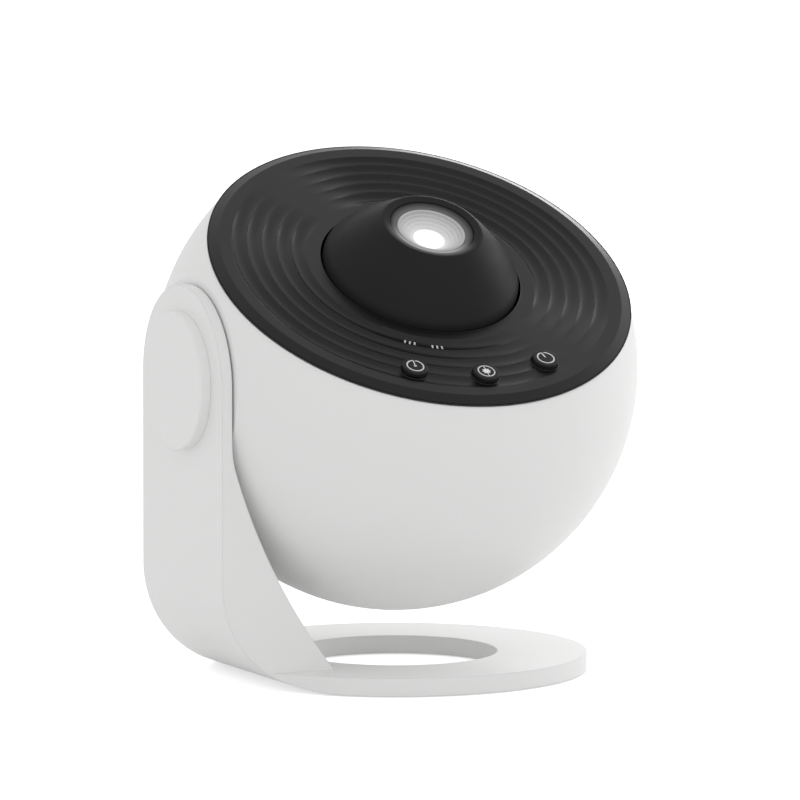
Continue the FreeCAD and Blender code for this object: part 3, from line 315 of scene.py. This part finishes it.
# Kinds of material

GRAIN_STRENGTH = 0.35
# How far edges are painted paler: partly wear, partly a painted highlight on rims and crests
EDGE_WEAR_AND_HIGHLIGHT_SHARE = 0.6
EDGE_WEAR_AND_HIGHLIGHT_PALENESS = 0.02
EDGE_POLISH = 0.08
SMEAR_SHEEN = 0.03
MOTTLE_DEPTH = 0.2


def new_material(name):
    material = bpy.data.materials.new(name)
    material.use_nodes = True
    tree = material.node_tree
    return material, tree, tree.nodes["Principled BSDF"]


def bumped_edges(tree, shader, height, strength, distance):
    """Fine relief on top of softened edges. Gives back the edge mask."""
    edges = place_group(tree, EDGES)
    bump = add_node(tree, "ShaderNodeBump", Strength=strength, Distance=distance)
    tree.links.new(height, bump.inputs["Height"])
    tree.links.new(edges.outputs["Normal"], bump.inputs["Normal"])
    tree.links.new(bump.outputs[0], shader.inputs["Normal"])
    return edges.outputs["Edge"]


def plastic(name, colour, sheen, clouds=0.03, fineness=3000.0, depth=0.02, edge_wear_and_highlight=0.0, gloss=0.5):
    """Moulded plastic: grain, faint clouds in tone and sheen, softened and polished edges, and edges
    painted paler, partly as wear and partly as a painted highlight.
    """
    material, tree, shader = new_material(name)
    grain = place_group(
        tree, GRAIN, Colour=(*colour, 1.0), Clouds=clouds, Sheen=sheen, Fineness=fineness
    )
    edge = bumped_edges(tree, shader, grain.outputs["Height"], GRAIN_STRENGTH, depth * MM)
    # Paler edges: partly wear, partly a painted highlight on rims and groove crests
    paler = tuple(min(1.0, part * (1.0 + edge_wear_and_highlight) + EDGE_WEAR_AND_HIGHLIGHT_PALENESS * edge_wear_and_highlight) for part in colour)
    share = calculate(tree, "MULTIPLY", edge, EDGE_WEAR_AND_HIGHLIGHT_SHARE)
    worn_and_highlit_colour = blend_colours(tree, share, grain.outputs["Colour"], (*paler, 1.0))
    tree.links.new(worn_and_highlit_colour, shader.inputs["Base Color"])
    polished = calculate(tree, "MULTIPLY", edge, -EDGE_POLISH)
    polished = calculate(tree, "ADD", polished, grain.outputs["Roughness"])
    tree.links.new(polished, shader.inputs["Roughness"])
    shader.inputs["Specular IOR Level"].default_value = gloss
    return material


def metal(name, colour, sheen):
    """Bare metal with drawn lines."""
    material, tree, shader = new_material(name)
    lines = place_group(tree, BRUSHED, Colour=(*colour, 1.0), Sheen=sheen)
    bumped_edges(tree, shader, lines.outputs["Height"], strength=0.2, distance=0.01 * MM)
    tree.links.new(lines.outputs["Colour"], shader.inputs["Base Color"])
    tree.links.new(lines.outputs["Roughness"], shader.inputs["Roughness"])
    shader.inputs["Metallic"].default_value = 1.0
    return material


def glass(name, colour, sheen):
    """Clear polished glass or film with the faintest smears."""
    material, tree, shader = new_material(name)
    place = add_node(tree, "ShaderNodeTexCoord").outputs["Object"]
    smear = noise_at(tree, place, Scale=160.0, Detail=2.0)
    polish = calculate(tree, "MULTIPLY", smear.outputs[0], SMEAR_SHEEN)
    polish = calculate(tree, "ADD", polish, sheen)
    tree.links.new(polish, shader.inputs["Roughness"])
    shader.inputs["Base Color"].default_value = (*colour, 1.0)
    shader.inputs["Transmission Weight"].default_value = 1.0
    shader.inputs["IOR"].default_value = 1.5
    return material


def light_round_axis(tree, rings, levels):
    """Lamp light between two rings about the lens axis, whose radii are in millimetres."""
    group = place_group(tree, AXIS_LIGHT)
    group.inputs["Inner"].default_value = rings[0] * MM
    group.inputs["Outer"].default_value = rings[1] * MM
    group.inputs["Inner light"].default_value = levels[0]
    group.inputs["Outer light"].default_value = levels[1]
    return group.outputs["Light"]


def lit_material(name, colour, levels, rings, glow):
    """A face that the lamp lights: it glows more towards the lens axis."""
    material, tree, shader = new_material(name)
    place = add_node(tree, "ShaderNodeTexCoord").outputs["Object"]
    cloud = noise_at(tree, place, Scale=400.0, Detail=2.0)
    mottle = calculate(tree, "MULTIPLY", cloud.outputs[0], MOTTLE_DEPTH)
    mottle = calculate(tree, "ADD", mottle, 1.0 - MOTTLE_DEPTH / 2)
    light = calculate(tree, "MULTIPLY", light_round_axis(tree, rings, levels), mottle)
    tree.links.new(grey_from(tree, light), shader.inputs["Emission Color"])
    shader.inputs["Emission Strength"].default_value = glow
    shader.inputs["Base Color"].default_value = (*colour, 1.0)
    shader.inputs["Roughness"].default_value = 0.4
    return material


# Finishes of the pieces

# The edge wear value of each finish also paints a highlight along its edges and crests
WHITE_SHELL = plastic("white_shell", (0.86, 0.86, 0.855), 0.5, clouds=0.012, edge_wear_and_highlight=0.05, gloss=0.4)
BLACK_COVER = plastic("black_cover", (0.0016, 0.0016, 0.0017), 0.36, clouds=0.1, edge_wear_and_highlight=0.2, gloss=0.29)
BLACK_HOOD = plastic("black_hood", (0.0195, 0.0195, 0.0199), 0.45, clouds=0.08, edge_wear_and_highlight=0.2, gloss=0.06)
BUTTON_BLACK = plastic("button_black", (0.014, 0.014, 0.0145), 0.4, clouds=0.06, edge_wear_and_highlight=0.5, gloss=0.15)
PRINT_WHITE = plastic("print_white", (0.82, 0.82, 0.82), 0.5, clouds=0.04, gloss=0.3)
DARK_INNER = plastic("dark_inner", (0.05, 0.05, 0.053), 0.6, clouds=0.1, edge_wear_and_highlight=0.3)
RUBBER = plastic("foot_rubber", (0.62, 0.62, 0.61), 0.85, fineness=1800.0, depth=0.05, gloss=0.25)
NYLON = plastic("natural_nylon", (0.74, 0.71, 0.63), 0.45, clouds=0.05)
PINION_WHITE = plastic("white_acetal", (0.80, 0.79, 0.74), 0.35, clouds=0.03)
BOARD_GREEN = plastic("board_green", (0.03, 0.17, 0.07), 0.3, clouds=0.15, depth=0.03)
SWITCH_BLACK = plastic("switch_black", (0.04, 0.04, 0.04), 0.4, clouds=0.1)
JACK_BLACK = plastic("jack_black", (0.03, 0.03, 0.03), 0.3, clouds=0.1)
LAMP_YELLOW = plastic("lamp_coating", (0.85, 0.66, 0.12), 0.25, clouds=0.08)
STEEL = metal("plain_steel", (0.56, 0.56, 0.57), 0.32)
SINK_METAL = metal("bare_aluminium", (0.72, 0.73, 0.74), 0.38)
CLEAR = glass("lens_glass", (0.93, 0.96, 0.98), 0.02)
LIT_BARREL = lit_material(
    "lit_barrel", (0.32, 0.32, 0.32), levels=(0.34, 0.06), rings=(5.0, 11.5), glow=1.0
)
LIT_LENS = lit_material("lit_lens", (0.5, 0.5, 0.5), levels=(1.0, 0.24), rings=(4.0, 4.8), glow=1.3)

# Lamp light in the mouth of the hood, with radii and places in millimetres

SPILL_BEARING = math.radians(-28.0)
SPILL_START = 1.0
SPILL_FULL = 11.0
SPILL_RINGS = (9.8, 14.6)
SPILL_LIGHT = 0.36
FUNNEL_RINGS = (9.6, 12.6)
FUNNEL_LIGHT = 0.13


def light_the_hood_mouth():
    """Lamp light on the funnel of the hood, and a stronger spill on the front of its rim."""
    tree = BLACK_HOOD.node_tree
    shader = tree.nodes["Principled BSDF"]
    along = add_node(tree, "ShaderNodeVectorMath", operation="DOT_PRODUCT")
    along.inputs[1].default_value = SIDE * math.sin(SPILL_BEARING) - BACK * math.cos(SPILL_BEARING)
    tree.links.new(from_ball_centre(tree), along.inputs[0])
    front = add_node(tree, "ShaderNodeMapRange", interpolation_type="SMOOTHSTEP")
    front.inputs["From Min"].default_value = SPILL_START * MM
    front.inputs["From Max"].default_value = SPILL_FULL * MM
    tree.links.new(along.outputs["Value"], front.inputs["Value"])
    spill = light_round_axis(tree, SPILL_RINGS, (SPILL_LIGHT, 0.0))
    spill = calculate(tree, "MULTIPLY", spill, front.outputs[0])
    funnel = light_round_axis(tree, FUNNEL_RINGS, (FUNNEL_LIGHT, 0.0))
    both = calculate(tree, "ADD", spill, funnel)
    tree.links.new(grey_from(tree, both), shader.inputs["Emission Color"])
    shader.inputs["Emission Strength"].default_value = 1.0


light_the_hood_mouth()

FINISH_OF_SLOT = {
    "white_shell": WHITE_SHELL,
    "black_cover": BLACK_COVER,
    "black_hood": BLACK_HOOD,
    "button_black": BUTTON_BLACK,
    "grey_barrel": LIT_BARREL,
    "dark_inner": DARK_INNER,
    "lens_glass": CLEAR,
    "film": CLEAR,
    "steel": STEEL,
    "sink_metal": SINK_METAL,
    "rubber": RUBBER,
    "nylon": NYLON,
    "board_green": BOARD_GREEN,
    "switch_black": SWITCH_BLACK,
    "lamp_yellow": LAMP_YELLOW,
    "pinion_white": PINION_WHITE,
    "jack_black": JACK_BLACK,
}
slot_of_node = {part["node"]: part["material_slot"] for part in frame["record"]["subparts"]}


def paint(piece, material):
    piece.data.materials.clear()
    piece.data.materials.append(material)


for name, node in nodes.items():
    paint(node, FINISH_OF_SLOT[slot_of_node[name]])
paint(nodes["front_lens"], LIT_LENS)


# Pieces made here


def new_piece(name, work, material, body, smooth=True):
    """Turns a working mesh into a piece that rides on a body."""
    mesh = bpy.data.meshes.new(name)
    work.to_mesh(mesh)
    work.free()
    for face in mesh.polygons:
        face.use_smooth = smooth
    piece = bpy.data.objects.new(name, mesh)
    bpy.context.scene.collection.objects.link(piece)
    paint(piece, material)
    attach(piece, body)
    return piece


# Sizes of the cover top, in millimetres, on circles about the lens axis

COVER_TOP = 34.5
COVER_RADIUS = 62.0
WELL_EDGE = 29.4
INNER_FLAT = (31.0, 32.5)
OUTER_FLAT = (55.6, 57.5)
FLAT_EDGE = 59.1
BEVEL_FOOT = 33.2
CREASE = 0.1
FIRST_CREST = 33.6
GROOVE_PITCH = 4.36
GROOVE_COUNT = 5
GROOVE_DEPTH = 1.0
GROOVE_STEPS = 12
COVER_TURNS = 540
CREST_ANGLE = 14.0
BUTTON_CIRCLE = 50.0
BUTTON_BEARINGS = {"timer_key": -24.3, "light_key": 0.0, "power_key": 24.3}
BORE_RADIUS = 4.0
BORE_CATCH = 0.3
BORE_MARGIN = 0.02

# Bearings at which the crescents fade, in degrees past the first end of the left family

LEFT_FAMILY_START = -147.0
LEFT_FAMILY_SPAN = 182.0
LEFT_RISE = (3.0, 32.0)
LEFT_THINNING = (80.0, 125.0)
LEFT_THINNED = 0.6
LEFT_FALL = (180.0, 155.0)
RIGHT_RISE = (185.0, 215.0)
RIGHT_FALL = (354.0, 325.0)


def ease(value, start, end):
    """0 at start, 1 at end, smooth between."""
    share = min(1.0, max(0.0, (value - start) / (end - start)))
    return share * share * (3.0 - 2.0 * share)


def groove_strength(bearing):
    """How deep the grooves are at a bearing, from 0 to 1. Bearing 0 is the front, 90 the free side."""
    turn = (bearing - LEFT_FAMILY_START) % 360.0
    if turn < LEFT_FAMILY_SPAN:
        thinned = 1.0 - LEFT_THINNED * ease(turn, *LEFT_THINNING)
        return ease(turn, *LEFT_RISE) * thinned * ease(turn, *LEFT_FALL)
    return ease(turn, *RIGHT_RISE) * ease(turn, *RIGHT_FALL)


def cover_level(side, back):
    """Height of the cover top: round hollows that meet in sharp crests level with the flat."""
    radius = math.hypot(side, back)
    if radius > FLAT_EDGE:
        drop = COVER_TOP - BEVEL_FOOT
        return COVER_TOP - drop * (radius - FLAT_EDGE) / (COVER_RADIUS - FLAT_EDGE)
    along = (radius - FIRST_CREST) / GROOVE_PITCH
    if not 0.0 < along < GROOVE_COUNT:
        return COVER_TOP
    half = GROOVE_PITCH / 2
    away = (along % 1.0 - 0.5) * GROOVE_PITCH
    bend = (half**2 + GROOVE_DEPTH**2) / (2 * GROOVE_DEPTH)
    hollow = math.sqrt(bend**2 - away**2) - (bend - GROOVE_DEPTH)
    bearing = math.degrees(math.atan2(side, -back))
    return COVER_TOP - groove_strength(bearing) * hollow


def button_place(body):
    """Side and back of a button's axis on the cover."""
    turn = math.radians(BUTTON_BEARINGS[body])
    return BUTTON_CIRCLE * math.sin(turn), -BUTTON_CIRCLE * math.cos(turn)


BORES = [button_place(body) for body in BUTTON_BEARINGS]


def cover_radii():
    """Radii of the rings of points, close together in the grooves and at the edge of the bevel."""
    steps = range(GROOVE_STEPS * GROOVE_COUNT + 1)
    grooves = [FIRST_CREST + GROOVE_PITCH * step / GROOVE_STEPS for step in steps]
    crease = [FLAT_EDGE - CREASE, FLAT_EDGE, FLAT_EDGE + CREASE]
    return [WELL_EDGE, *INNER_FLAT, *grooves, *OUTER_FLAT, *crease, COVER_RADIUS]


def clear_of_bores(side, back):
    """Moves a point in or close to a button's bore to the bore's rim."""
    for bore_side, bore_back in BORES:
        away = math.hypot(side - bore_side, back - bore_back)
        if 0.01 < away < BORE_RADIUS + BORE_CATCH:
            side = bore_side + (side - bore_side) * BORE_RADIUS / away
            back = bore_back + (back - bore_back) * BORE_RADIUS / away
    return side, back


def open_cover():
    """The CAD cover without the faces of its top."""
    shell = bmesh.new()
    shell.from_mesh(nodes["top_cover"].data)
    shell.normal_update()
    top = []
    for face in shell.faces:
        heights = [(vert.co - BALL_CENTRE).dot(LENS_AXIS) / MM for vert in face.verts]
        if min(heights) > BEVEL_FOOT - 0.01:
            top.append(face)
    bmesh.ops.delete(shell, geom=top, context="FACES")
    return shell


def cover_points(shell):
    """Rings of points over the cover top."""
    grid = []
    for radius in cover_radii():
        ring = []
        for index in range(COVER_TURNS):
            turn = math.radians(360.0 * index / COVER_TURNS - 180.0)
            side, back = clear_of_bores(radius * math.sin(turn), -radius * math.cos(turn))
            ring.append(shell.verts.new(head_point(side, back, cover_level(side, back))))
        grid.append(ring)
    return grid


def make_cover():
    """The cover with two families of crescent grooves, a bevel and three button bores."""
    shell = open_cover()
    grid = cover_points(shell)
    centres = [head_point(side, back, COVER_TOP) for side, back in BORES]
    for inner, outer in zip(grid, grid[1:]):
        for index in range(COVER_TURNS):
            after = (index + 1) % COVER_TURNS
            corners = (inner[index], inner[after], outer[after], outer[index])
            middle = sum((corner.co for corner in corners), Vector()) / 4
            near = min((middle - centre).length for centre in centres)
            if near > (BORE_RADIUS - BORE_MARGIN) * MM:
                shell.faces.new(corners)
    bmesh.ops.dissolve_degenerate(shell, dist=1e-6, edges=shell.edges)
    loose = [vert for vert in shell.verts if not vert.link_faces]
    bmesh.ops.delete(shell, geom=loose, context="VERTS")
    piece = new_piece("rippled_cover", shell, BLACK_COVER, "head")
    piece.data.set_sharp_from_angle(angle=math.radians(CREST_ANGLE))
    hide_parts("top_cover")


make_cover()


# White print on the buttons and on the cover, in millimetres: plain signs and tick marks

PRINT_THICKNESS = 0.03
PRINT_ROOT = 0.05
BUTTON_TOP = 36.0
SIGN_RADIUS = 2.42
TICK_CIRCLE = 36.5
TICK_BEARINGS = (-29.2, -27.0, -24.8, -16.6, -14.4, -12.2)
TICK_LENGTH = 1.6
TICK_WIDTH = 0.5
TICK_STEPS = 6


def raised_print(name, outlines, level_at, body):
    """Thin printed shapes from outlines of (side, back) points on the cover plane."""
    work = bmesh.new()
    for outline in outlines:
        low, high = [], []
        for side, back in outline:
            level = level_at(side, back)
            low.append(work.verts.new(head_point(side, back, level - PRINT_ROOT)))
            high.append(work.verts.new(head_point(side, back, level + PRINT_THICKNESS)))
        work.faces.new(high)
        work.faces.new(low[::-1])
        for index in range(len(outline)):
            after = (index + 1) % len(outline)
            work.faces.new((low[index], low[after], high[after], high[index]))
    bmesh.ops.recalc_face_normals(work, faces=work.faces)
    new_piece(name, work, PRINT_WHITE, body, smooth=False)


def on_circle(centre, radius, turn):
    """A point at a turn from the back, clockwise, in radians."""
    return centre[0] + radius * math.sin(turn), centre[1] + radius * math.cos(turn)


def ring_parts(centre, width, start, end, count=48):
    """Short pieces of a sign's ring, as outlines. Angles from the back, clockwise, in degrees."""
    parts = []
    for index in range(count):
        turns = [math.radians(start + (end - start) * (index + step) / count) for step in (0, 1)]
        inner = [on_circle(centre, SIGN_RADIUS - width / 2, turn) for turn in turns]
        outer = [on_circle(centre, SIGN_RADIUS + width / 2, turn) for turn in reversed(turns)]
        parts.append(inner + outer)
    return parts


def bar(centre, angle, start, end, width):
    """A straight bar that leaves a centre at an angle in degrees."""
    turn = math.radians(angle)
    along = (math.sin(turn), math.cos(turn))
    across = (math.cos(turn) * width / 2, -math.sin(turn) * width / 2)
    corners = []
    for reach, side in ((start, -1), (end, -1), (end, 1), (start, 1)):
        corners.append(
            (
                centre[0] + along[0] * reach + across[0] * side,
                centre[1] + along[1] * reach + across[1] * side,
            )
        )
    return corners


def star(centre, points, inner, outer):
    reaches = [outer, inner] * points
    return [on_circle(centre, reach, math.pi * step / points) for step, reach in enumerate(reaches)]


def dot(centre, radius, count=20):
    return [on_circle(centre, radius, 2.0 * math.pi * step / count) for step in range(count)]


def timer_sign(centre):
    """A ring with a hand from its middle."""
    hand = bar(centre, angle=6, start=0.0, end=2.4, width=0.36)
    return ring_parts(centre, width=0.42, start=20, end=366) + [hand, dot(centre, radius=0.45)]


def light_sign(centre):
    """A star in a ring, with a line to either side of the ring."""
    rays = star(centre, points=8, inner=0.95, outer=1.45)
    lines = [bar(centre, angle, start=1.3, end=2.4, width=0.3) for angle in (0, 180)]
    return ring_parts(centre, width=0.38, start=0, end=360) + [rays] + lines


def power_sign(centre):
    """A ring that a short line interrupts."""
    line = bar(centre, angle=-11, start=0.2, end=2.5, width=0.42)
    return ring_parts(centre, width=0.42, start=6, end=349) + [line]


def print_ticks():
    outlines = []
    for bearing in TICK_BEARINGS:
        turn = math.radians(bearing)
        centre = (TICK_CIRCLE * math.sin(turn), -TICK_CIRCLE * math.cos(turn))
        for step in range(TICK_STEPS):
            start = -TICK_LENGTH / 2 + TICK_LENGTH * step / TICK_STEPS
            end = start + TICK_LENGTH / TICK_STEPS
            outlines.append(bar(centre, -bearing, start, end, TICK_WIDTH))
    raised_print("tick_marks", outlines, cover_level, "head")


SIGNS = {"timer_key": timer_sign, "light_key": light_sign, "power_key": power_sign}
for body, sign in SIGNS.items():
    sign_name = body.replace("key", "sign")
    raised_print(sign_name, sign(button_place(body)), lambda side, back: BUTTON_TOP, body)
print_ticks()


# Lamps, world and floor

LAMP_TARGET = Vector((0.0, 0.0, 0.08))
SOFT_LIGHT = 0.80
WHITE = (1.0, 1.0, 1.0, 1.0)
FLOOR_RADIUS = 4.0
FLOOR_COLOUR = (0.88, 0.88, 0.88, 1.0)
FLOOR_FILL = 0.6


def area_lamp(name, place, size, power):
    """A round lamp that points at the object."""
    data = bpy.data.lights.new(name, "AREA")
    data.shape = "DISK"
    data.size = size
    data.energy = power
    lamp = bpy.data.objects.new(name, data)
    lamp.location = place
    lamp.rotation_euler = (LAMP_TARGET - Vector(place)).to_track_quat("-Z", "Y").to_euler()
    bpy.context.scene.collection.objects.link(lamp)


area_lamp("right_lamp", (0.9, 0.1, 0.35), size=0.6, power=1.3)
area_lamp("back_lamp", (0.61, 0.79, 0.46), size=0.36, power=1.4)
area_lamp("front_lamp", (-0.2, -0.9, 0.5), size=0.7, power=0.3)


def seen_directly(tree):
    """1 where the camera, a reflection or a view through glass meets the surface, else 0."""
    path = add_node(tree, "ShaderNodeLightPath")
    seen = calculate(tree, "MAXIMUM", path.outputs["Is Camera Ray"], path.outputs["Is Glossy Ray"])
    return calculate(tree, "MAXIMUM", seen, path.outputs["Is Transmission Ray"])


def mix_shaders(tree, share, first, second):
    mix = add_node(tree, "ShaderNodeMixShader")
    for slot, output in enumerate((share, first, second)):
        tree.links.new(output, mix.inputs[slot])
    return mix.outputs[0]


def make_world():
    """Even soft light that is seen as plain white."""
    world = bpy.data.worlds.new("studio")
    bpy.context.scene.world = world
    world.use_nodes = True
    tree = world.node_tree
    soft = tree.nodes["Background"]
    soft.inputs["Color"].default_value = WHITE
    soft.inputs["Strength"].default_value = SOFT_LIGHT
    seen = add_node(tree, "ShaderNodeBackground", Color=WHITE, Strength=1.0)
    mixed = mix_shaders(tree, seen_directly(tree), soft.outputs[0], seen.outputs[0])
    tree.links.new(mixed, tree.nodes["World Output"].inputs["Surface"])


def floor_material():
    """Pale floor with a fill where it is seen, and clear from below."""
    material, tree, shader = new_material("pale_floor")
    shader.inputs["Base Color"].default_value = FLOOR_COLOUR
    shader.inputs["Roughness"].default_value = 0.9
    shader.inputs["Specular IOR Level"].default_value = 0.1
    fill = add_node(tree, "ShaderNodeEmission", Strength=FLOOR_FILL)
    filled = add_node(tree, "ShaderNodeAddShader")
    tree.links.new(shader.outputs[0], filled.inputs[0])
    tree.links.new(fill.outputs[0], filled.inputs[1])
    above = mix_shaders(tree, seen_directly(tree), shader.outputs[0], filled.outputs[0])
    facing = add_node(tree, "ShaderNodeNewGeometry")
    clear = add_node(tree, "ShaderNodeBsdfTransparent")
    surface = mix_shaders(tree, facing.outputs["Backfacing"], above, clear.outputs[0])
    tree.links.new(surface, tree.nodes["Material Output"].inputs["Surface"])
    return material


def make_floor():
    """A round floor."""
    plane = bmesh.new()
    bmesh.ops.create_circle(plane, cap_ends=True, segments=64, radius=FLOOR_RADIUS)
    mesh = bpy.data.meshes.new("floor")
    plane.to_mesh(mesh)
    plane.free()
    floor = bpy.data.objects.new("floor", mesh)
    bpy.context.scene.collection.objects.link(floor)
    paint(floor, floor_material())


make_world()
make_floor()

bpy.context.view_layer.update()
